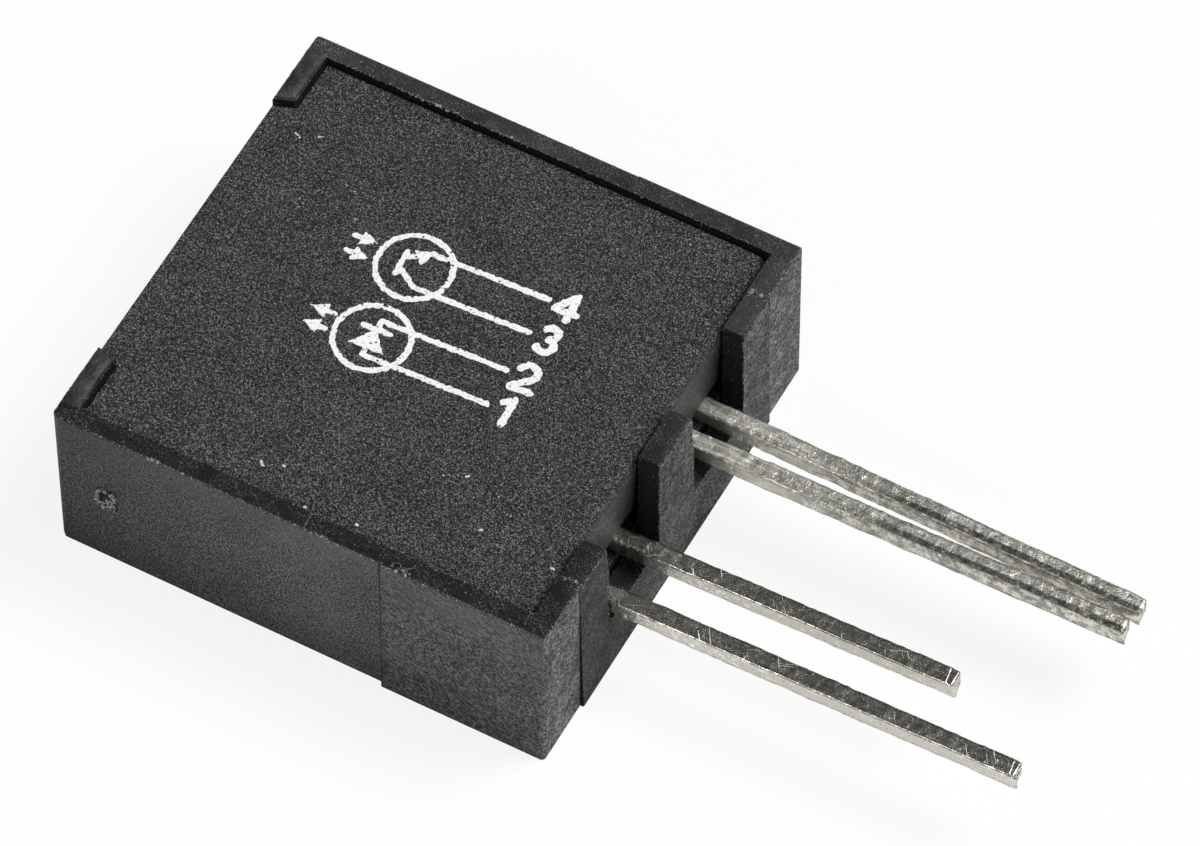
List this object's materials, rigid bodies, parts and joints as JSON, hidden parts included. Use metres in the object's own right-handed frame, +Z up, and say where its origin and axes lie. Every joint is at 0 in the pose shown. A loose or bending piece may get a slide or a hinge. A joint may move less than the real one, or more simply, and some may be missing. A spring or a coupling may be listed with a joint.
{
  "type": "reflective optical sensor",
  "caption": "Flat black reflective sensor: an open tray with a drop-in cover holds a lamp and a detector side by side behind round holes; square leads leave the other end.",
  "frame": {"origin": "centre of the flat base of the tray", "axes": "+X along the leads, away from the sensing end; +Z up, from the base to the cover; +Y across the leads"},
  "size_m": [0.0251, 0.0134, 0.0053],
  "materials": {
    "tray_plastic": "satin black, fine grain",
    "cover_plastic": "black, sandblasted texture",
    "tinned_lead": "tin plated",
    "clear_epoxy": "clear moulded epoxy",
    "tinted_epoxy": "smoke tinted moulded epoxy",
    "chip": "polished semiconductor",
    "gold_wire": "gold"
  },
  "bodies": {
    "root": {"housing": "tray_plastic", "cover": "cover_plastic", "emitter_lens": "clear_epoxy", "emitter_anode_lead": "tinned_lead", "emitter_cathode_lead": "tinned_lead", "emitter_die": "chip", "emitter_bond_wire": "gold_wire", "detector_lens": "tinted_epoxy", "collector_lead": "tinned_lead", "detector_emitter_lead": "tinned_lead", "detector_die": "chip", "detector_bond_wire": "gold_wire"}
  },
  "joints": []
}
